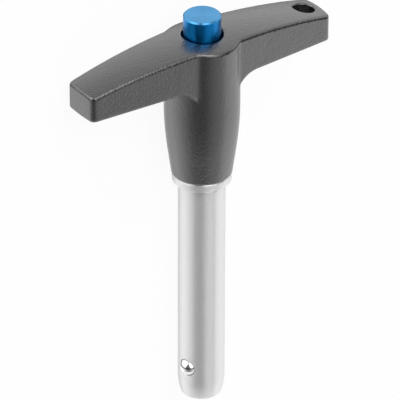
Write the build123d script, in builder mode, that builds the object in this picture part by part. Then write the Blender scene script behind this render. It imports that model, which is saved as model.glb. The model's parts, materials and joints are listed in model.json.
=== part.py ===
"""Ball lock pin with a T-handle: millimetres, every piece as its own solid.

The pieces are drawn upright in the pin's own frame: the origin is the centre of the shoulder
that seats on the work, +Z runs up the pin to the button, +X runs along the arm with the lanyard
hole and -Y is the front. At the end the whole pin is laid on its back, as it comes to rest.
"""

import os
from math import atan2, cos, radians, sin, sqrt, tan

from build123d import *

os.makedirs("parts", exist_ok=True)

# ---------------------------------------------------------------- driving dimensions

shank_radius = 6.0
shank_length = 63.7  # from the shoulder to the tip face
tip_chamfer_length = 2.6
tip_face_radius = 5.05
tip_edge_chamfer = 0.35

shoulder_radius = 7.55
shoulder_height = 2.2
shoulder_chamfer = 0.25
stem_length = 14.0  # pressed into the handle, above the shoulder

# Balls and the spindle's cam
ball_radius = 2.38
ball_level = -54.1  # height of the ball centres
ball_angle = 195.0  # direction of the front ball, from +X towards +Y
ball_out = 4.87  # centre radius, balls locked
ball_in = 3.59  # centre radius, balls released
button_stroke = 4.5
seat_clearance = 0.07
lip_angle = 14.5  # of the staked lip that keeps a ball in, to the line of the balls
lip_overlap = 1.0  # of the lip's cutter past the shank

spindle_radius = 2.3
bore_clearance = 0.05
neck_radius = 1.15
cam_clearance = 0.04  # between a ball and the cam, square to the cone
land_below = 1.9  # length of full-size land below the ball centres, locked
land_chamfer = 0.3
neck_length = 1.0
cam_return_length = 2.1
bore_below = 6.6  # bore depth below the ball centres
drill_point_angle = 118.0

# Handle
bar_half_length = 36.2
bar_half_width_middle = 7.9
bar_half_width_end = 5.6
bar_underside = 30.3
bar_crest = 41.9
arch_radius = 170.0  # of the top along the bar
crown_radius = 30.0  # of the top across the bar
bar_corner_radius = 1.2
bar_edge_radius = 1.2
bar_top_chamfer = 0.8
gusset_radius = 6.4  # of the hollow sweep from the hub out to the underside of the arms
gusset_reach = 12.9  # from the pin's axis to where that sweep ends

hub_radius = 9.55
hub_foot_radius = 7.7
hub_taper_radius = 8.6
hub_taper_top = 8.8
hub_straight_from = 22.0
hub_foot_edge = 0.3

lanyard_hole_radius = 2.7
lanyard_hole_x = 31.1
lanyard_rim = 0.4

# Button and return spring
button_radius = 4.75
button_top = 46.9
button_chamfer = 0.35
button_hole_radius = 5.25
button_hole_rim = 0.3
flange_radius = 5.95
flange_top = 36.4
flange_height = 2.5
handle_bore_top = 36.45
tenon_radius = 1.6
tenon_length = 8.0

spring_wire = 0.7
spring_radius = 3.6  # of the wire's centre line
spring_pocket_radius = 4.2
spring_seat = 6.0

# How the pin lies
lying_pitch = 2.45
lying_roll = 7.09


def arc_drop(radius, half_chord):
    """How far an arc falls away from its crest at a given distance to the side."""
    return radius - sqrt(radius**2 - half_chord**2)


hub_foot = shoulder_height
bar_rough_top = bar_crest + 2.0  # before the crown is cut
crown_overlap = 4.0  # of the crown's cutter past the hub
gusset_bottom = bar_underside - gusset_radius
stem_top = shoulder_height + stem_length
flange_bottom = flange_top - flange_height
cam_slope = (ball_out - ball_in) / button_stroke
cam_angle = atan2(cam_slope, 1.0)
# Radius of the cam cone at the ball centres' level, and where it starts and ends
cam_radius = ball_out - (ball_radius + cam_clearance) / cos(cam_angle)
cam_start = ball_level + (cam_radius - spindle_radius) / cam_slope
cam_end = ball_level + (cam_radius - neck_radius) / cam_slope
land_end = ball_level - land_below
neck_end = cam_end + neck_length
cam_return_end = neck_end + cam_return_length
seat_radius = ball_radius + seat_clearance
# The lip's cone grazes a sphere of the seat's radius round the locked ball
lip_start = ball_out + seat_radius * tan(radians(lip_angle) / 2)
lip_end = shank_radius + lip_overlap
lip_radius = seat_radius - (lip_end - lip_start) * tan(radians(lip_angle))
bore_radius = spindle_radius + bore_clearance
bore_bottom = ball_level - bore_below
drill_point_depth = bore_radius / sin(radians(drill_point_angle / 2)) * cos(radians(drill_point_angle / 2))

# ---------------------------------------------------------------- T-handle, one casting


def bar_plan(inset=0.0):
    """The crossbar seen from above: widest in the middle, its sides moved in by the inset."""
    middle = bar_half_width_middle - inset
    end = bar_half_width_end - inset
    with BuildSketch(Plane.XY.offset(bar_underside)) as plan:
        with BuildLine():
            Polyline(
                (-bar_half_length, -end),
                (0, -middle),
                (bar_half_length, -end),
                (bar_half_length, end),
                (0, middle),
                (-bar_half_length, end),
                close=True,
            )
        make_face()
    return plan.sketch


def break_rim(part, place, length):
    """Chamfer the one edge that passes nearest to a place."""
    chamfer(part.edges().filter_by(GeomType.LINE, reverse=True).sort_by_distance(place)[0], length=length)


with BuildPart() as t_handle:
    # Crossbar: tapered in plan, flat underneath, left too high until the crown trims it
    extrude(bar_plan(), amount=bar_rough_top - bar_underside)
    upright_edges = t_handle.edges().filter_by(Axis.Z).group_by(Axis.X)
    fillet(upright_edges[0] + upright_edges[-1], radius=bar_corner_radius)
    fillet(t_handle.faces().sort_by(Axis.Z)[0].edges(), radius=bar_edge_radius)

    # Gussets: the underside of each arm sweeps down into the hub
    with BuildPart(mode=Mode.PRIVATE) as gussets:
        with BuildSketch(Plane.XZ):
            with BuildLine():
                left_sweep = RadiusArc(
                    (-gusset_reach, bar_underside),
                    (gusset_radius - gusset_reach, gusset_bottom),
                    gusset_radius,
                )
                right_sweep = RadiusArc(
                    (gusset_reach - gusset_radius, gusset_bottom),
                    (gusset_reach, bar_underside),
                    gusset_radius,
                )
                Line(left_sweep @ 1, right_sweep @ 0)
                Line(right_sweep @ 1, left_sweep @ 0)
            make_face()
        extrude(amount=bar_half_width_middle, both=True)
        extrude(bar_plan(inset=bar_edge_radius), amount=-gusset_radius, mode=Mode.INTERSECT)
    add(gussets)

    # Hub: two tapers, then straight up to the crossbar
    with BuildSketch(Plane.YZ):
        with BuildLine():
            Polyline(
                (0, hub_foot),
                (hub_foot_radius - hub_foot_edge, hub_foot),
                (hub_foot_radius, hub_foot + hub_foot_edge),
                (hub_taper_radius, hub_taper_top),
                (hub_radius, hub_straight_from),
                (hub_radius, bar_rough_top),
                (0, bar_rough_top),
                close=True,
            )
        make_face()
    revolve(axis=Axis.Z)

    # The top is arched along the bar and crowned across it: cut by a ring turned about a low axis
    crown_half_width = hub_radius + crown_overlap
    crown_side = bar_crest - arc_drop(crown_radius, crown_half_width)
    with BuildSketch(Plane.YZ):
        with BuildLine():
            crown = RadiusArc((-crown_half_width, crown_side), (crown_half_width, crown_side), crown_radius)
            Polyline(
                crown @ 1,
                (crown_half_width, bar_rough_top + crown_overlap),
                (-crown_half_width, bar_rough_top + crown_overlap),
                crown @ 0,
            )
        make_face()
    revolve(axis=Axis((0, 0, bar_crest - arch_radius), (0, 1, 0)), mode=Mode.SUBTRACT)
    chamfer(t_handle.faces().sort_by(Axis.Z)[-1].edges(), length=bar_top_chamfer)

    # Bore for stem, spring and button flange, with a lip above that keeps the button in
    with BuildSketch(Plane.XY.offset(hub_foot)):
        Circle(shank_radius)
    extrude(amount=handle_bore_top - hub_foot, mode=Mode.SUBTRACT)
    with BuildSketch(Plane.XY.offset(handle_bore_top)):
        Circle(button_hole_radius)
    extrude(amount=bar_rough_top - handle_bore_top, mode=Mode.SUBTRACT)
    break_rim(t_handle, (button_hole_radius, 0, bar_crest), button_hole_rim)

    # Lanyard hole, down through the right arm
    with BuildSketch(Plane.XY.offset(bar_rough_top)):
        with Locations((lanyard_hole_x, 0)):
            Circle(lanyard_hole_radius)
    extrude(amount=bar_underside - bar_rough_top, mode=Mode.SUBTRACT)
    lanyard_side = lanyard_hole_x - lanyard_hole_radius
    break_rim(t_handle, (lanyard_side, 0, bar_crest), lanyard_rim)
    break_rim(t_handle, (lanyard_side, 0, bar_underside), lanyard_rim)

# ---------------------------------------------------------------- shank, one turned piece

with BuildPart() as pin_shank:
    with BuildSketch(Plane.XZ):
        with BuildLine():
            Polyline(
                (0, stem_top),
                (shank_radius, stem_top),
                (shank_radius, shoulder_height),
                (shoulder_radius, shoulder_height),
                (shoulder_radius, shoulder_chamfer),
                (shoulder_radius - shoulder_chamfer, 0),
                (shank_radius, 0),
                (shank_radius, tip_chamfer_length - shank_length),
                (tip_face_radius, tip_edge_chamfer - shank_length),
                (tip_face_radius - tip_edge_chamfer, -shank_length),
                (0, -shank_length),
                close=True,
            )
        make_face()
    revolve(axis=Axis.Z)

    # Blind bore for the spindle, with its drill point, and the spring's pocket in the stem
    with BuildSketch(Plane.XZ):
        with BuildLine():
            Polyline(
                (0, bore_bottom - drill_point_depth),
                (bore_radius, bore_bottom),
                (bore_radius, spring_seat),
                (spring_pocket_radius, spring_seat),
                (spring_pocket_radius, stem_top),
                (0, stem_top),
                close=True,
            )
        make_face()
    revolve(axis=Axis.Z, mode=Mode.SUBTRACT)

    # Ball holes: bored out past the locked balls' centres, then closed in by a staked lip
    for side in (0, 180):
        heading = radians(ball_angle + side)
        outward = Vector(cos(heading), sin(heading), 0)
        sideways = outward.cross(Vector(0, 0, 1))
        along_ball_line = Plane(origin=(0, 0, ball_level), x_dir=outward, z_dir=sideways)
        with BuildSketch(along_ball_line):
            with BuildLine():
                Polyline(
                    (0, 0),
                    (0, seat_radius),
                    (lip_start, seat_radius),
                    (lip_end, lip_radius),
                    (lip_end, 0),
                    close=True,
                )
            make_face()
        revolve(axis=Axis(along_ball_line.origin, outward), mode=Mode.SUBTRACT)

# ---------------------------------------------------------------- spindle

with BuildPart() as spindle:
    with BuildSketch(Plane.XZ):
        with BuildLine():
            Polyline(
                (0, land_end),
                (spindle_radius - land_chamfer, land_end),
                (spindle_radius, land_end + land_chamfer),
                (spindle_radius, cam_start),
                (neck_radius, cam_end),
                (neck_radius, neck_end),
                (spindle_radius, cam_return_end),
                (spindle_radius, flange_bottom),
                (tenon_radius, flange_bottom),
                (tenon_radius, flange_bottom + tenon_length),
                (0, flange_bottom + tenon_length),
                close=True,
            )
        make_face()
    revolve(axis=Axis.Z)

# ---------------------------------------------------------------- release button

with BuildPart() as release_button:
    with BuildSketch(Plane.XZ):
        with BuildLine():
            Polyline(
                (tenon_radius, flange_bottom),
                (flange_radius, flange_bottom),
                (flange_radius, flange_top),
                (button_radius, flange_top),
                (button_radius, button_top - button_chamfer),
                (button_radius - button_chamfer, button_top),
                (0, button_top),
                (0, flange_bottom + tenon_length),
                (tenon_radius, flange_bottom + tenon_length),
                close=True,
            )
        make_face()
    revolve(axis=Axis.Z)

# ---------------------------------------------------------------- return spring, as the sleeve it fills

with BuildPart() as return_spring:
    with BuildSketch(Plane.XY.offset(spring_seat)):
        Circle(spring_radius + spring_wire / 2)
        Circle(spring_radius - spring_wire / 2, mode=Mode.SUBTRACT)
    extrude(amount=flange_bottom - spring_seat)

# ---------------------------------------------------------------- locking balls

with BuildPart() as locking_ball_front:
    with Locations(Vector(ball_out, 0, ball_level).rotate(Axis.Z, ball_angle)):
        Sphere(ball_radius)

with BuildPart() as locking_ball_rear:
    with Locations(Vector(ball_out, 0, ball_level).rotate(Axis.Z, ball_angle + 180)):
        Sphere(ball_radius)

# ---------------------------------------------------------------- laid down and written

# The pin lies on its back: on the hub's rear, the shank's tip and the left arm's rear edge
lying = Location((0, 0, 0), (0, lying_pitch - 90, 0)) * Location((0, 0, 0), (0, 0, 90 - lying_roll))

pieces = {
    "t_handle": t_handle,
    "pin_shank": pin_shank,
    "spindle": spindle,
    "release_button": release_button,
    "return_spring": return_spring,
    "locking_ball_front": locking_ball_front,
    "locking_ball_rear": locking_ball_rear,
}
for name, piece in pieces.items():
    piece.part.locate(lying)
    piece.part.label = name
    export_step(piece.part, f"parts/{name}.step")
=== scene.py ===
"""Looks for the ball lock pin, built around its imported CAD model.

Blender objects are in metres in the CAD's frame. Shapes and places are written in mm in the pin's
own frame, and directions in degrees.
"""

import json
import math

import bmesh
import bpy
import numpy as np
from mathutils import Matrix, Vector


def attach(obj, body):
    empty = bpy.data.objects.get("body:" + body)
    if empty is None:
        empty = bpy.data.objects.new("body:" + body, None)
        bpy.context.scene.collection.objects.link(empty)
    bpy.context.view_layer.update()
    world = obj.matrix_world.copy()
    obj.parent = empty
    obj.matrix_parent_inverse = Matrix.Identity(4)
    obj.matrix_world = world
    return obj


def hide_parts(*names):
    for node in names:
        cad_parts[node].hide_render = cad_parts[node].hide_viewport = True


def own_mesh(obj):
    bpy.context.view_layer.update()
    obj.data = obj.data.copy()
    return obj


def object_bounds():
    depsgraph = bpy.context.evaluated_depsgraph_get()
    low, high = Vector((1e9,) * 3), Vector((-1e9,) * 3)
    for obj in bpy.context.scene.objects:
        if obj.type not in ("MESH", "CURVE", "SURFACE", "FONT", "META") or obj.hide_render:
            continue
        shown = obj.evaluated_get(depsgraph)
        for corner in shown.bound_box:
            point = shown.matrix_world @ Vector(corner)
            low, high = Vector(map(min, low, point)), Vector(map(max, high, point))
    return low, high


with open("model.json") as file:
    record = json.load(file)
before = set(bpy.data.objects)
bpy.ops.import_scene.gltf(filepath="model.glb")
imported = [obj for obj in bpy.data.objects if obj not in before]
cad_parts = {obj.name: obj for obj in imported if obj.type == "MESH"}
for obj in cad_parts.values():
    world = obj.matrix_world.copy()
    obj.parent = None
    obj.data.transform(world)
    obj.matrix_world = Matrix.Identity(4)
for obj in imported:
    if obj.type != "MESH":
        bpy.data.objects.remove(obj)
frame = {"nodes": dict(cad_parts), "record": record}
cad_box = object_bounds()

MM = 0.001
WHITE = (1.0, 1.0, 1.0, 1.0)

# ---------------------------------------------------------------- the pin's own frame

# Origin at the shoulder, +Z up the pin to the button, +X along the arm with the lanyard hole and
# -Y the front
mounts = {m["name"]: m for m in frame["record"]["mounts"]}
pin_z = -Vector(mounts["shank"]["axis"]).normalized()
to_hole = Vector(mounts["lanyard_hole"]["pos_m"])
pin_x = (to_hole - to_hole.dot(pin_z) * pin_z).normalized()
pin_y = pin_z.cross(pin_x)
PIN = Matrix((pin_x, pin_y, pin_z)).transposed().to_4x4()


def place(name, data):
    """A new object in the scene."""
    obj = bpy.data.objects.new(name, data)
    bpy.context.scene.collection.objects.link(obj)
    return obj


def smooth(mesh):
    for polygon in mesh.polygons:
        polygon.use_smooth = True


def link(name, mesh, body):
    """A new piece from a mesh in the pin's frame, riding on a CAD body."""
    obj = place(name, mesh)
    mesh.transform(PIN)
    smooth(mesh)
    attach(obj, body)
    return obj


# ---------------------------------------------------------------- node helpers


class Nodes:
    """Short calls for building one node tree."""

    def __init__(self, tree):
        self.tree = tree
        tree.nodes.clear()

    def add(self, kind, inputs=None, **settings):
        """A new node. Each input is a value or another node's socket."""
        node = self.tree.nodes.new(kind)
        for key, value in settings.items():
            setattr(node, key, value)
        for key, value in (inputs or {}).items():
            socket = node.inputs[key]
            if isinstance(value, bpy.types.NodeSocket):
                self.tree.links.new(value, socket)
            else:
                socket.default_value = value
        return node

    def math(self, operation, a, b=0.0):
        return self.add("ShaderNodeMath", {0: a, 1: b}, operation=operation).outputs[0]

    def vector(self, operation, a, b=None):
        node = self.add("ShaderNodeVectorMath", {0: a} if b is None else {0: a, 1: b}, operation=operation)
        return node.outputs["Value" if operation in ("DOT_PRODUCT", "LENGTH") else "Vector"]

    def along_pin(self, direction):
        """A direction's or place's three parts in the pin's frame."""
        return [self.vector("DOT_PRODUCT", direction, axis) for axis in (pin_x, pin_y, pin_z)]

    def mix(self, share, one, two):
        """A value between two, each a number or a socket."""
        return self.add("ShaderNodeMix", {0: share, 2: one, 3: two}).outputs[0]

    def span(self, value, low, high, to_low, to_high):
        """A smooth remap of a value from one range to another."""
        node = self.add(
            "ShaderNodeMapRange",
            {"Value": value, "From Min": low, "From Max": high, "To Min": to_low, "To Max": to_high},
            interpolation_type="SMOOTHSTEP",
        )
        return node.outputs["Result"]

    def blend(self, share, one, two):
        """A colour between two, each a colour or a socket."""
        node = self.add("ShaderNodeMix", data_type="RGBA")
        for index, value in ((0, share), (6, one), (7, two)):
            if isinstance(value, bpy.types.NodeSocket):
                self.tree.links.new(value, node.inputs[index])
            else:
                node.inputs[index].default_value = (*value, 1.0)
        return node.outputs[2]

    def noise(self, where, scale, detail=2.0, roughness=0.5):
        node = self.add(
            "ShaderNodeTexNoise",
            {"Vector": where, "Scale": scale, "Detail": detail, "Roughness": roughness},
        )
        return node.outputs["Fac"]


def new_material(name):
    material = bpy.data.materials.new(name)
    material.use_nodes = True
    return material, Nodes(material.node_tree)


def surface(n, shader):
    """The material's output, from its shader's socket."""
    n.add("ShaderNodeOutputMaterial", {"Surface": shader})


def pin_coordinates(n):
    """The place on the object in the pin's frame, so that grain and turning marks follow its axis."""
    parts = n.along_pin(n.add("ShaderNodeTexCoord").outputs["Object"])
    return n.add("ShaderNodeCombineXYZ", dict(zip("XYZ", parts))).outputs[0]


def turned_tangent(n):
    """The direction in which turned metal smears reflections: across the tool marks round the axis."""
    spot = n.add("ShaderNodeTexCoord").outputs["Object"]
    facing = n.add("ShaderNodeNewGeometry").outputs["Normal"]
    circling = n.vector("CROSS_PRODUCT", pin_z, spot)
    return n.vector("NORMALIZE", n.vector("CROSS_PRODUCT", facing, circling))


def give(node_name, material):
    """A CAD node that stays gets its finished material."""
    obj = frame["nodes"][node_name]
    obj.data.materials.clear()
    obj.data.materials.append(material)
    smooth(obj.data)


# ---------------------------------------------------------------- materials

# Noise scales, per metre: the coat's orange peel and its slower change of tone, the steel's grit
# and turned rings (spread round the axis, close along it), the turning marks and the tone of the
# anodising, and the balls' haze
PEEL_SCALE, CLOUD_SCALE = 1700.0, 160.0
GRIT_SCALE, RING_SCALE = 2600.0, (30.0, 30.0, 5200.0)
TURNING_SCALE, BLUE_SCALE, HAZE_SCALE = 9000.0, 500.0, 900.0
NOISE_LOW, NOISE_HIGH = 0.3, 0.7  # nearly all of a noise's range lies between these
TURNED_SMEAR = 0.85  # anisotropy of turned metal
# Where the button's top, painted lighter as a painted reflection, takes over from the deep side
SIDE_FACING, TOP_FACING = 0.3, 0.7  # how far a face looks up the pin where the button's tones meet


def coat_material():
    """Black semi-gloss plastic coat on the casting, with a fine orange peel."""
    material, n = new_material("handle_coat")
    where = pin_coordinates(n)
    peel = n.noise(where, PEEL_SCALE, roughness=0.6)
    cloud = n.noise(where, CLOUD_SCALE)
    height = n.math("ADD", peel, n.math("MULTIPLY", cloud, 0.8))
    bump = n.add("ShaderNodeBump", {"Height": height, "Strength": 0.8, "Distance": 0.00013})
    tint = n.blend(cloud, (0.009, 0.009, 0.010), (0.017, 0.016, 0.017))
    shader = n.add(
        "ShaderNodeBsdfPrincipled",
        {
            "Base Color": tint,
            "Roughness": n.span(peel, NOISE_LOW, NOISE_HIGH, 0.13, 0.21),
            "IOR": 2.1,
            "Normal": bump.outputs[0],
        },
    )
    surface(n, shader.outputs[0])
    return material


def steel_material(name, colour, metal, rough, grain, lines):
    """Ground or turned steel. Grain and lines are the shares of its grit and of its turned rings."""
    material, n = new_material(name)
    where = pin_coordinates(n)
    grit = n.noise(where, GRIT_SCALE, 3.0, 0.6)
    rings = n.noise(n.vector("MULTIPLY", where, RING_SCALE), 1.0)
    height = n.math("ADD", n.math("MULTIPLY", grit, grain), n.math("MULTIPLY", rings, lines))
    bump = n.add("ShaderNodeBump", {"Height": height, "Strength": 0.16, "Distance": 0.00003})
    tint = n.blend(grit, [c * 0.9 for c in colour], [c * 1.06 for c in colour])
    shader = n.add(
        "ShaderNodeBsdfPrincipled",
        {
            "Base Color": tint,
            "Metallic": metal,
            "Anisotropic": TURNED_SMEAR,
            "Tangent": turned_tangent(n),
            "Roughness": n.span(grit, NOISE_LOW, NOISE_HIGH, rough - 0.05, rough + 0.05),
            "Normal": bump.outputs[0],
        },
    )
    surface(n, shader.outputs[0])
    return material


def anodised_material():
    """Blue anodised aluminium: a deep clear side, and a top painted lighter and whiter as a painted
    reflection of the bright light it faces.
    """
    material, n = new_material("blue_anodised")
    where = pin_coordinates(n)
    # Turning marks follow the tool: down the side, and in circles over the top
    radius = n.vector("LENGTH", n.vector("MULTIPLY", where, (1.0, 1.0, 0.0)))
    height = n.vector("DOT_PRODUCT", where, (0.0, 0.0, 1.0))
    along = n.math("MULTIPLY", n.math("ADD", radius, height), TURNING_SCALE)
    marks = {"W": along, "Scale": 1.0, "Detail": 2.0}
    turned = n.add("ShaderNodeTexNoise", marks, noise_dimensions="1D").outputs["Fac"]
    cloud = n.noise(where, BLUE_SCALE, 3.0)
    bump = n.add("ShaderNodeBump", {"Height": turned, "Strength": 0.2, "Distance": 0.00001})
    # Painted light: faces that look up the pin get a lighter, whiter blue that stands in for the light they
    # reflect; the side keeps the deep blue
    facing = n.add("ShaderNodeNewGeometry").outputs["Normal"]
    upward = n.vector("DOT_PRODUCT", facing, pin_z)
    side = n.blend(cloud, (0.0015, 0.19, 0.54), (0.0035, 0.26, 0.68))
    top = n.blend(cloud, (0.045, 0.26, 0.53), (0.075, 0.31, 0.58))
    shader = n.add(
        "ShaderNodeBsdfPrincipled",
        {
            "Base Color": n.blend(n.span(upward, SIDE_FACING, TOP_FACING, 0.0, 1.0), side, top),
            "Metallic": 1.0,
            "Roughness": n.span(turned, NOISE_LOW, NOISE_HIGH, 0.24, 0.32),
            "Anisotropic": TURNED_SMEAR,
            "Tangent": turned_tangent(n),
            "Coat Weight": 0.15,
            "Coat Roughness": 0.1,
            "Normal": bump.outputs[0],
        },
    )
    surface(n, shader.outputs[0])
    return material


def ball_material():
    """Polished hardened ball, with the faintest haze."""
    material, n = new_material("ball_steel")
    haze = n.noise(pin_coordinates(n), HAZE_SCALE, 3.0)
    tint = n.blend(haze, (0.80, 0.80, 0.81), (0.90, 0.90, 0.91))
    shader = n.add(
        "ShaderNodeBsdfPrincipled",
        {"Base Color": tint, "Metallic": 1.0, "Roughness": n.span(haze, NOISE_LOW, NOISE_HIGH, 0.04, 0.09)},
    )
    surface(n, shader.outputs[0])
    return material


# ---------------------------------------------------------------- handle, as one smooth casting

# The bar: its ends (each a flat bow), half widths, heights and the curves of its top
LEFT_END, RIGHT_END, END_BOW = -36.75, 35.8, 50.0
MIDDLE_HALF_WIDTH, END_HALF_WIDTH, TAPER_LENGTH = 7.75, 5.4, 36.2
UNDERSIDE, CREST = 30.6, 41.9
ARCH_RADIUS, CROWN_RADIUS = 162.0, 30.0
CORNER_RADIUS, EDGE_RADIUS, TOP_EDGE = 1.3, 0.5, 0.7
# The sweep under each arm: its radius, how far out it reaches, and where it is lost in the hub
GUSSET_RADIUS, GUSSET_REACH, GUSSET_FLOOR = 6.7, 11.9, 22.0
SIDE_BLEND = 0.4  # between the hub and the sides of the arms
# The hub: straight at its top, tapered below, with an edge at its foot
HUB_RADIUS, TAPER_RADIUS, FOOT_RADIUS, FOOT_EDGE = 9.55, 8.6, 7.7, 0.35
HUB_FOOT, TAPER_TOP, STRAIGHT_FROM = 2.2, 8.8, 22.0
# The bore, and the button's hole above it, which overlaps it and has a rounded rim
BORE_RADIUS, BORE_TOP = 6.0, 36.45
BUTTON_HOLE, BUTTON_RIM, BUTTON_HOLE_OVERLAP = 5.25, 0.3, 1.0
WELL_INSIDE = -1.0
# The lanyard hole, straight through the right arm
LANYARD_X, LANYARD_RADIUS, LANYARD_RIM = 31.1, 2.7, 0.6


def meet(radius, *parts):
    """What is inside every part, with its outer edges rounded."""
    raised = [p + radius for p in parts]
    outside = np.sqrt(sum(np.maximum(r, 0.0) ** 2 for r in raised))
    return outside + np.minimum(np.maximum.reduce(raised), 0.0) - radius


def join(radius, a, b):
    """What is inside either part, with the inner corner between them filled."""
    inside = np.sqrt(np.maximum(radius - a, 0.0) ** 2 + np.maximum(radius - b, 0.0) ** 2)
    return np.maximum(np.minimum(a, b), radius) - inside


def hub_profile(z):
    """The hub's radius at a height: a straight taper, then a swell into the straight upper part."""
    foot = FOOT_RADIUS + (TAPER_RADIUS - FOOT_RADIUS) * (z - HUB_FOOT) / (TAPER_TOP - HUB_FOOT)
    rise = STRAIGHT_FROM - TAPER_TOP
    t = np.clip((z - TAPER_TOP) / rise, 0.0, 1.0)
    slope = (TAPER_RADIUS - FOOT_RADIUS) / (TAPER_TOP - HUB_FOOT) * rise
    gain = HUB_RADIUS - TAPER_RADIUS
    swell = TAPER_RADIUS + slope * t + (3 * gain - 2 * slope) * t**2 + (slope - 2 * gain) * t**3
    return np.where(z < TAPER_TOP, foot, swell)


def handle_field(x, y, z):
    """Distance to the handle's surface in mm, negative inside, in the pin's frame."""
    radius = np.hypot(x, y)
    column = radius - hub_profile(z)
    taper = (MIDDLE_HALF_WIDTH - END_HALF_WIDTH) / TAPER_LENGTH
    side = (np.abs(y) - MIDDLE_HALF_WIDTH + taper * np.abs(x)) / math.hypot(1.0, taper)
    left = np.hypot(x - LEFT_END - END_BOW, y) - END_BOW
    right = np.hypot(x - RIGHT_END + END_BOW, y) - END_BOW
    end = np.where(x > 0, right, left)
    arch = np.hypot(x, z - CREST + ARCH_RADIUS) - ARCH_RADIUS
    top = np.hypot(y, arch + CROWN_RADIUS) - CROWN_RADIUS
    # The underside of each arm sweeps down into the hub
    swept = join(GUSSET_RADIUS, UNDERSIDE - z, np.abs(x) - GUSSET_REACH + GUSSET_RADIUS)
    outline = meet(CORNER_RADIUS, side, end)
    bar = meet(EDGE_RADIUS, outline, swept, GUSSET_FLOOR - z)
    hub = meet(FOOT_EDGE, column, HUB_FOOT - z)
    body = join(SIDE_BLEND, bar, hub)
    body = meet(TOP_EDGE, body, top)
    hole = np.where(z > BORE_TOP - BUTTON_HOLE_OVERLAP, BUTTON_HOLE - radius, WELL_INSIDE)
    body = meet(BUTTON_RIM, body, hole)
    body = np.maximum(body, np.minimum(BORE_RADIUS - radius, BORE_TOP - z))
    lanyard = LANYARD_RADIUS - np.hypot(x - LANYARD_X, y)
    return meet(LANYARD_RIM, body, lanyard)


def grid_line(*stretches):
    """Grid coordinates from (start, end, step) stretches."""
    points = [np.linspace(a, b, max(round((b - a) / step), 1), endpoint=False) for a, b, step in stretches]
    return np.concatenate([*points, [stretches[-1][1]]])


# Rounds of drawing points onto a surface, the share of the way gone in each, the step in mm that
# measures a field's slope, and the least slope squared to divide by
PULL_ROUNDS, PULL_SHARE, PULL_STEP, LEAST_SLOPE = 4, 0.9, 1e-3, 0.2


def halves(axis):
    """Slices for the grid points at the start and at the end of each grid edge along an axis."""
    low, high = [slice(None)] * 3, [slice(None)] * 3
    low[axis], high[axis] = slice(0, -1), slice(1, None)
    return tuple(low), tuple(high)


def pull_to_surface(verts, field):
    """Points drawn down a field's slope onto its zero surface."""
    for _ in range(PULL_ROUNDS):
        here = field(*verts.T)
        rises = [field(*(verts + step).T) - field(*(verts - step).T) for step in PULL_STEP * np.eye(3)]
        slope = np.stack(rises, -1) / (2 * PULL_STEP)
        verts = verts - PULL_SHARE * (here / np.maximum((slope**2).sum(1), LEAST_SLOPE))[:, None] * slope
    return verts


def surface_mesh(name, field, xs, ys, zs):
    """A quad mesh of a field's zero surface: a vertex in each crossed cell, a face on each edge."""
    grid = np.meshgrid(xs, ys, zs, indexing="ij")
    values = field(*grid)
    inside = values < 0
    crossings = [inside[low] != inside[high] for low, high in map(halves, range(3))]
    # Each cell's vertex starts at the mean of the crossing points on its edges
    cells = tuple(s - 1 for s in values.shape)
    total, count = np.zeros(cells + (3,)), np.zeros(cells)
    for axis, crossed in enumerate(crossings):
        low, high = halves(axis)
        share = np.where(crossed, values[low] / np.where(crossed, values[low] - values[high], 1.0), 0.0)
        points = np.stack([g[low] + share * (g[high] - g[low]) for g in grid], -1)
        one, other = [a for a in range(3) if a != axis]
        for first in halves(one):
            for second in halves(other):
                pick = tuple(second[a] if a == other else first[a] for a in range(3))
                total += np.where(crossed[pick][..., None], points[pick], 0.0)
                count += crossed[pick]
    used = count > 0
    index = np.full(cells, -1)
    index[used] = np.arange(used.sum())
    verts = pull_to_surface(total[used] / count[used][:, None], field)
    faces = []
    for axis, crossed in enumerate(crossings):
        others = [a for a in range(3) if a != axis]
        inner = tuple(slice(None) if a == axis else slice(1, -1) for a in range(3))
        at = np.stack(np.nonzero(crossed[inner]), -1)
        corners = []
        for steps in ((0, 0), (1, 0), (1, 1), (0, 1)):
            cell = at.copy()
            cell[:, others] += steps
            corners.append(index[tuple(cell.T)])
        quads = np.stack(corners, -1)
        # The corners circle an edge along x or z one way, and one along y the other way. Quads that
        # would face inwards are turned over.
        start = at.copy()
        start[:, others] += 1
        inwards = inside[tuple(start.T)] == (axis == 1)
        quads[inwards] = quads[inwards][:, ::-1]
        faces.append(quads)
    mesh = bpy.data.meshes.new(name)
    mesh.from_pydata((verts * MM).tolist(), [], np.concatenate(faces).tolist())
    mesh.update()
    return mesh


handle_mesh = surface_mesh(
    "handle_casting",
    handle_field,
    grid_line(
        (-37.0, -34.0, 0.3),
        (-34.0, -12.0, 0.5),
        (-12.0, 12.0, 0.4),
        (12.0, 27.0, 0.5),
        (27.0, 37.0, 0.3),
    ),
    grid_line((-10.3, 10.3, 0.36)),
    grid_line((1.6, 3.4, 0.25), (3.4, 24.0, 0.6), (24.0, 36.0, 0.4), (36.0, 42.6, 0.28)),
)
handle = link("handle_casting", handle_mesh, "pin_body")
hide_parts("t_handle")
handle.data.materials.append(coat_material())

# ---------------------------------------------------------------- shank, one turned piece

SHANK_RADIUS, SHANK_TIP = 6.0, -63.7
COLLAR_RADIUS, COLLAR_EDGE, COLLAR_TOP_EDGE = 7.55, 0.3, 0.4
STEM_TOP = 16.2
TIP_TAPER, TIP_FACE_RADIUS, TIP_BLEND, TIP_EDGE = 2.6, 5.05, 0.8, 0.6
# The relief under the collar
GROOVE_LEVEL, GROOVE_HALF_WIDTH, GROOVE_DEPTH, GROOVE_EDGE = -0.45, 0.42, 0.2, 0.08
SPINDLE_BORE, BORE_BOTTOM, SPRING_POCKET, SPRING_FOOT = 2.35, -60.7, 4.2, 6.0
BALL_LEVEL, BALL_HEADING = -54.1, math.radians(195.0)
HOLE_EDGE = 0.05
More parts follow.
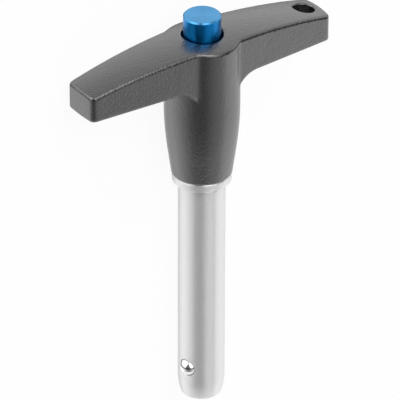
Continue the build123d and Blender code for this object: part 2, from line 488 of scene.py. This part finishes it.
# A ball hole's radius at distances from the pin's axis: it closes in to the lip that keeps the ball
HOLE_PROFILE = ((0.0, 2.45), (5.15, 2.45), (5.55, 2.34), (5.8, 2.34), (5.98, 2.43), (9.0, 2.43))


def shank_field(x, y, z):
    """Distance to the shank's surface in mm, negative inside, in the pin's frame."""
    radius = np.hypot(x, y)
    shoulder = meet(COLLAR_EDGE, radius - COLLAR_RADIUS, -z)
    shoulder = meet(COLLAR_TOP_EDGE, shoulder, z - HUB_FOOT)
    taper = (SHANK_RADIUS - TIP_FACE_RADIUS) / TIP_TAPER
    tip = (radius - SHANK_RADIUS + taper * (SHANK_TIP + TIP_TAPER - z)) / math.hypot(1.0, taper)
    rod = meet(TIP_BLEND, radius - SHANK_RADIUS, tip)
    rod = meet(TIP_EDGE, rod, SHANK_TIP - z, z - STEM_TOP)
    groove = np.maximum(np.abs(z - GROOVE_LEVEL) - GROOVE_HALF_WIDTH, SHANK_RADIUS - GROOVE_DEPTH - radius)
    rod = meet(GROOVE_EDGE, rod, -groove)
    body = np.minimum(rod, shoulder)
    bore = np.maximum(radius - SPINDLE_BORE, BORE_BOTTOM - z)
    pocket = np.maximum(radius - SPRING_POCKET, SPRING_FOOT - z)
    body = np.maximum(body, -np.minimum(bore, pocket))
    along = np.abs(x * math.cos(BALL_HEADING) + y * math.sin(BALL_HEADING))
    across = x * math.sin(BALL_HEADING) - y * math.cos(BALL_HEADING)
    hole = np.hypot(across, z - BALL_LEVEL) - np.interp(along, *zip(*HOLE_PROFILE))
    return meet(HOLE_EDGE, body, -hole)


shank_mesh = surface_mesh(
    "shank_turned",
    shank_field,
    grid_line((-7.8, -6.3, 0.3), (-6.3, -3.9, 0.1), (-3.9, 3.9, 0.3), (3.9, 6.3, 0.1), (6.3, 7.8, 0.3)),
    grid_line((-7.8, -4.2, 0.3), (-4.2, 4.2, 0.13), (4.2, 7.8, 0.3)),
    grid_line(
        (-64.0, -60.0, 0.22),
        (-60.0, -57.2, 0.56),
        (-57.2, -51.0, 0.1),
        (-51.0, -1.6, 1.6),
        (-1.6, 2.6, 0.11),
        (2.6, 16.6, 1.4),
    ),
)
shank = link("shank_turned", shank_mesh, "pin_body")
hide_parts("pin_shank")
shank.data.materials.append(steel_material("stainless", (0.82, 0.82, 0.815), 0.76, 0.33, 1.0, 0.6))

# ---------------------------------------------------------------- return spring

SPRING_RADIUS, SPRING_WIRE, SPRING_TURNS = 3.6, 0.7, 11.0
SPRING_TOP = 33.9
CLOSED_TURNS, CLOSED_PITCH = 1.25, 1.02 * SPRING_WIRE  # at each end
STEPS_PER_TURN, WIRE_SIDES = 32, 10


def spring_path():
    """The wire's middle line, with the end turns closed against their seats."""
    steps = int(SPRING_TURNS * STEPS_PER_TURN)
    open_turns = SPRING_TURNS - 2 * CLOSED_TURNS
    climb = SPRING_TOP - SPRING_FOOT - SPRING_WIRE
    open_pitch = (climb - 2 * CLOSED_TURNS * CLOSED_PITCH) / open_turns
    path = []
    for i in range(steps + 1):
        turn = SPRING_TURNS * i / steps
        opened = min(max(turn - CLOSED_TURNS, 0.0), open_turns)
        height = SPRING_FOOT + SPRING_WIRE / 2 + (turn - opened) * CLOSED_PITCH + opened * open_pitch
        angle = 2 * math.pi * turn
        path.append(Vector((SPRING_RADIUS * math.cos(angle), SPRING_RADIUS * math.sin(angle), height)))
    return path


def spring_mesh():
    """A coil of round wire."""
    path = spring_path()
    bm = bmesh.new()
    rings = []
    for i, point in enumerate(path):
        ahead = (path[min(i + 1, len(path) - 1)] - path[max(i - 1, 0)]).normalized()
        out = Vector((point.x, point.y, 0.0)).normalized()
        up = ahead.cross(out).normalized()
        ring = []
        for k in range(WIRE_SIDES):
            a = 2 * math.pi * k / WIRE_SIDES
            rim = SPRING_WIRE / 2 * (math.cos(a) * out + math.sin(a) * up)
            ring.append(bm.verts.new((point + rim) * MM))
        rings.append(ring)
    for one, two in zip(rings, rings[1:]):
        for k in range(WIRE_SIDES):
            bm.faces.new((one[k], two[k], two[(k + 1) % WIRE_SIDES], one[(k + 1) % WIRE_SIDES]))
    bm.faces.new(rings[0])
    bm.faces.new(rings[-1][::-1])
    bmesh.ops.recalc_face_normals(bm, faces=bm.faces[:])
    mesh = bpy.data.meshes.new("spring_coil")
    bm.to_mesh(mesh)
    bm.free()
    return mesh


spring = link("spring_coil", spring_mesh(), "pin_body")
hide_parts("return_spring")
spring.data.materials.append(steel_material("spring_steel", (0.5, 0.5, 0.5), 1.0, 0.3, 0.4, 0.0))
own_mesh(spring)

# ---------------------------------------------------------------- CAD nodes that stay

give("spindle", steel_material("stainless_inner", (0.62, 0.62, 0.61), 1.0, 0.3, 0.4, 1.0))
give("release_button", anodised_material())
balls = ball_material()
give("locking_ball_front", balls)
give("locking_ball_rear", balls)

# ---------------------------------------------------------------- camera

# A long lens from the front left, looking down on the pin: its place, line of sight and upper side
EYE = Vector((-622.993, -871.691, 651.076))
LOOK = Vector((0.49527, 0.693553, -0.523156))
UP = Vector((0.301707, 0.4274, 0.852233))

camera = place("camera", bpy.data.cameras.new("camera"))
camera.data.sensor_width = 36.0
camera.data.lens = 450.0
camera.data.clip_end = 20.0
right = LOOK.cross(UP).normalized()
turn = Matrix((right, right.cross(LOOK), -LOOK)).transposed().to_4x4()
camera.matrix_world = PIN @ Matrix.Translation(EYE * MM) @ turn
bpy.context.scene.camera = camera

# ---------------------------------------------------------------- surroundings

# What the pin reflects, by direction in degrees: its turn round the pin's axis, from the arm with
# the hole towards the back, and its rise towards the button. BELOW is the table's side and ABOVE
# the soft walls over it, both by turn. RISE dims or lifts them by rise.
BELOW = (
    (0, 1.15), (20, 1.0), (54, 0.86), (100, 0.9), (125, 1.35), (150, 1.22), (172, 0.9), (190, 0.6),
    (210, 0.28), (236, 0.21), (252, 0.31), (268, 0.54), (284, 0.66), (299, 0.72), (312, 1.2),
    (333, 1.25), (359, 1.15),
)
ABOVE = (
    (0, 1.0), (34, 1.06), (50, 1.0), (62, 0.9), (78, 0.88), (100, 0.95), (125, 1.2), (160, 1.3),
    (276, 1.3), (295, 1.0), (313, 0.85), (359, 1.0),
)
RISE = (
    (-90, 1.2), (-60, 1.15), (-42, 1.0), (-22, 1.0), (-14, 0.3), (-3, 0.25), (5, 1.1), (16, 1.3),
    (38, 1.25), (48, 1.0), (60, 0.85), (90, 0.85),
)
BRIGHTEST = 1.6  # a ramp's colours stop at 1, so its levels are scaled by this
TABLE_EDGE = (-16.0, -2.0)
# Nearer the tip the table is evenly lit
NEAR_TABLE, NEAR_LEVEL = (-44.0, -60.0), 0.88
# A dark gap between the walls on the camera's side, narrowing to nothing at its top
GAP_TURN, GAP_FOOT, GAP_TOP, GAP_HALF_WIDTH, GAP_SOFT, GAP_DEPTH = 221.0, -15.0, 98.0, 34.0, 4.0, 0.9
# A long lamp above the near side: outer, inner, inner and outer edge in turn and in rise
LAMP_TURN, LAMP_RISE, LAMP_LEVEL = (130.0, 150.0, 278.0, 294.0), (36.0, 42.0, 60.0, 66.0), 2.2
# A dark screen to the right, low down, with its edges in the same order
SCREEN_TURN, SCREEN_RISE, SCREEN_DEPTH = (284.0, 294.0, 318.0, 332.0), (-18.0, -12.0, 30.0, 40.0), 0.8


def ramp(n, where, low, high, stops):
    """A level that follows (degrees, level) stops, as where goes from 0 at low to 1 at high."""
    node = n.add("ShaderNodeValToRGB", {"Fac": where})
    node.color_ramp.interpolation = "EASE"
    elements = node.color_ramp.elements
    for _ in stops[2:]:
        elements.new(0.5)
    for stop, (at, level) in zip(elements, stops):
        stop.position = (at - low) / (high - low)
        stop.color = (level / BRIGHTEST,) * 3 + (1.0,)
    return n.math("MULTIPLY", node.outputs["Color"], BRIGHTEST)


def patch(n, turn, rise, turn_edges, rise_edges):
    """1 between the inner edges of a patch of directions, falling to 0 at its outer ones."""
    shares = []
    for where, edges in ((turn, turn_edges), (rise, rise_edges)):
        entered = n.span(where, *edges[:2], 0.0, 1.0)
        not_left = n.span(where, *edges[2:], 1.0, 0.0)
        shares.append(n.math("MULTIPLY", entered, not_left))
    return n.math("MULTIPLY", *shares)


def surroundings(n, heading):
    """The brightness seen from the pin in a direction."""
    to_hole_side, to_back, to_button = n.along_pin(heading)
    turn_share = n.math("DIVIDE", n.math("ARCTAN2", to_back, to_hole_side), 2 * math.pi)
    turn_share = n.math("FRACT", n.math("ADD", turn_share, 1.0))
    rise_share = n.math("ADD", n.math("DIVIDE", n.math("ARCSINE", to_button), math.pi), 0.5)
    turn = n.math("MULTIPLY", turn_share, 360.0)
    rise = n.math("MULTIPLY", n.math("SUBTRACT", rise_share, 0.5), 180.0)
    below = ramp(n, turn_share, 0, 360, BELOW)
    below = n.mix(n.span(rise, *NEAR_TABLE, 0.0, 1.0), below, NEAR_LEVEL)
    slope = GAP_HALF_WIDTH / (GAP_TOP - GAP_FOOT)
    half_width = n.math("MULTIPLY", n.math("SUBTRACT", GAP_TOP, rise), slope)
    off = n.math("ABSOLUTE", n.math("SUBTRACT", turn, GAP_TURN))
    gap = n.span(n.math("SUBTRACT", off, half_width), -GAP_SOFT, GAP_SOFT, 1.0 - GAP_DEPTH, 1.0)
    above = n.math("MULTIPLY", ramp(n, turn_share, 0, 360, ABOVE), gap)
    level = n.mix(n.span(rise, *TABLE_EDGE, 0.0, 1.0), below, above)
    level = n.math("MULTIPLY", level, ramp(n, rise_share, -90, 90, RISE))
    screen = patch(n, turn, rise, SCREEN_TURN, SCREEN_RISE)
    level = n.math("MULTIPLY", level, n.span(screen, 0.0, 1.0, 1.0, 1.0 - SCREEN_DEPTH))
    lamp_level = n.math("MULTIPLY", patch(n, turn, rise, LAMP_TURN, LAMP_RISE), LAMP_LEVEL)
    return n.math("ADD", level, n.math("MULTIPLY", lamp_level, gap))


world = bpy.data.worlds.new("studio")
bpy.context.scene.world = world
world.use_nodes = True
n = Nodes(world.node_tree)
ray = n.add("ShaderNodeLightPath").outputs
heading = n.add("ShaderNodeTexCoord").outputs["Generated"]
shown = n.mix(ray["Is Camera Ray"], surroundings(n, heading), 1.0)
sky_light = n.add("ShaderNodeBackground", {"Color": WHITE, "Strength": shown})
n.add("ShaderNodeOutputWorld", {"Surface": sky_light.outputs[0]})

# ---------------------------------------------------------------- floor and lamp

FLOOR_HALF = 4.0  # metres
FLOOR_SHOWN_WHITE = 0.94  # the rest of what the camera sees of the floor takes the pin's shadow

floor_z = min(cad_box[0].z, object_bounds()[0].z)
corners = [(x * FLOOR_HALF, y * FLOOR_HALF, floor_z) for x, y in ((-1, -1), (1, -1), (1, 1), (-1, 1))]
floor_mesh = bpy.data.meshes.new("floor")
floor_mesh.from_pydata(corners, [], [(0, 1, 2, 3)])
floor = place("floor", floor_mesh)

material, n = new_material("floor")
ray = n.add("ShaderNodeLightPath").outputs
diffuse = n.add("ShaderNodeBsdfDiffuse", {"Color": (0.9, 0.9, 0.9, 1.0)})
glow = n.add("ShaderNodeEmission", {"Color": WHITE, "Strength": 1.0})
white = n.math("MULTIPLY", ray["Is Camera Ray"], FLOOR_SHOWN_WHITE)
plain = n.add("ShaderNodeMixShader", {0: white, 1: diffuse.outputs[0], 2: glow.outputs[0]})
# In reflections the floor gives way to the surroundings
through = n.add("ShaderNodeBsdfTransparent", {"Color": WHITE})
mixed = n.add("ShaderNodeMixShader", {0: ray["Is Glossy Ray"], 1: plain.outputs[0], 2: through.outputs[0]})
surface(n, mixed.outputs[0])
floor_mesh.materials.append(material)

# A soft lamp at the front right, aimed at the pin and kept out of its reflections
KEY_PLACE = Vector((290.0, -950.0, 620.0))
KEY_SIZE, KEY_POWER = 0.6, 2.5  # metres, watts

light = bpy.data.lights.new("key", "AREA")
light.shape = "SQUARE"
light.size = KEY_SIZE
light.energy = KEY_POWER
key = place("key", light)
key.location = PIN @ (KEY_PLACE * MM)
key.rotation_euler = (-key.location).to_track_quat("-Z", "Y").to_euler()
key.visible_glossy = False

bpy.context.scene.view_settings.view_transform = "Standard"

# ---------------------------------------------------------------- the end

bpy.context.view_layer.update()
